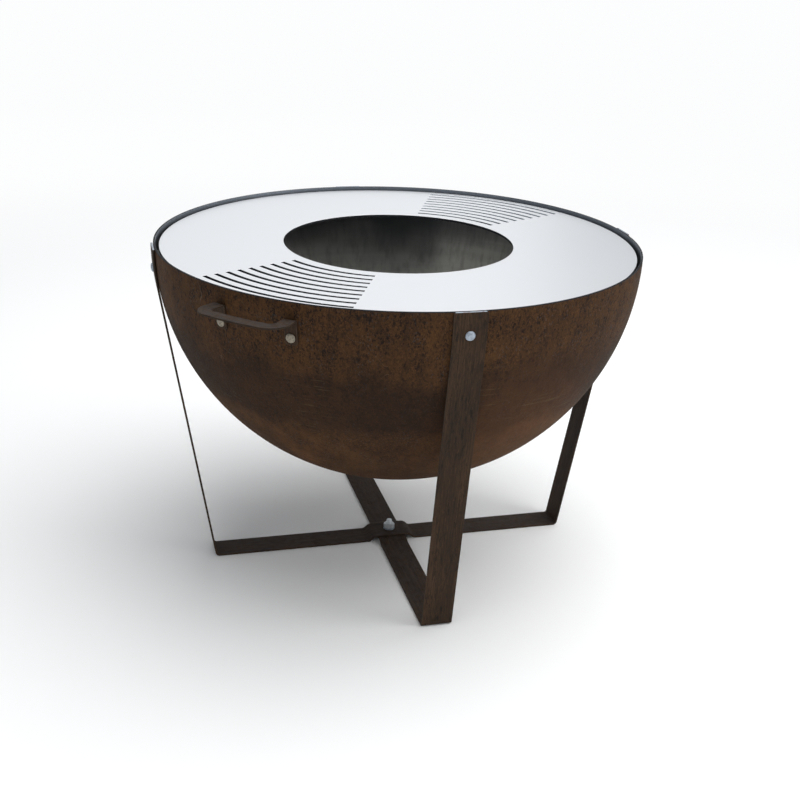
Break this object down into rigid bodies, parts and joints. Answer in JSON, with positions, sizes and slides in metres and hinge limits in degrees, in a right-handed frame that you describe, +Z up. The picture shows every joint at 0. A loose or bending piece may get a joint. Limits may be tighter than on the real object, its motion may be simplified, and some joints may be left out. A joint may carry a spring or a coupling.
{
  "type": "fire pit with slotted cooking ring",
  "caption": "Hemispherical steel fire bowl on crossed bent flat-bar legs, with bolt-on handles and a lift-off slotted cooking ring.",
  "frame": {"origin": "on the ground under the bowl's axis, midway between the feet", "axes": "+Z up along the bowl's axis, Y along the lower leg strap, X along the upper leg strap"},
  "size_m": [0.8114, 0.8114, 0.552],
  "materials": {
    "bowl_steel": "matte",
    "strap_steel": "matte",
    "ring_steel": "satin",
    "bracket_steel": "matte",
    "zinc": "satin"
  },
  "bodies": {
    "stand": {"fire_bowl": "bowl_steel", "leg_strap_lower": "strap_steel", "leg_strap_upper": "strap_steel", "cross_bolt": "zinc", "cross_washer": "zinc", "cross_nut": "zinc", "ring_bracket_front": "bracket_steel", "ring_bracket_right": "bracket_steel", "ring_bracket_back": "bracket_steel", "ring_bracket_left": "bracket_steel", "leg_bolt_front": "zinc", "leg_bolt_right": "zinc", "leg_bolt_back": "zinc", "leg_bolt_left": "zinc", "leg_washer_front": "zinc", "leg_washer_right": "zinc", "leg_washer_back": "zinc", "leg_washer_left": "zinc", "leg_nut_front": "zinc", "leg_nut_right": "zinc", "leg_nut_back": "zinc", "leg_nut_left": "zinc", "handle_front": "strap_steel", "handle_back": "strap_steel", "handle_bolt_front_left": "zinc", "handle_bolt_front_right": "zinc", "handle_bolt_back_left": "zinc", "handle_bolt_back_right": "zinc", "handle_washer_front_left": "zinc", "handle_washer_front_right": "zinc", "handle_washer_back_left": "zinc", "handle_washer_back_right": "zinc", "handle_nut_front_left": "zinc", "handle_nut_front_right": "zinc", "handle_nut_back_left": "zinc", "handle_nut_back_right": "zinc"},
    "ring": {"cooking_ring": "ring_steel"}
  },
  "joints": [
    {"name": "ring_lift", "type": "slide", "parent": "stand", "child": "ring", "axis": [0, 0, 1], "range_m": [0, 0.2]}
  ]
}
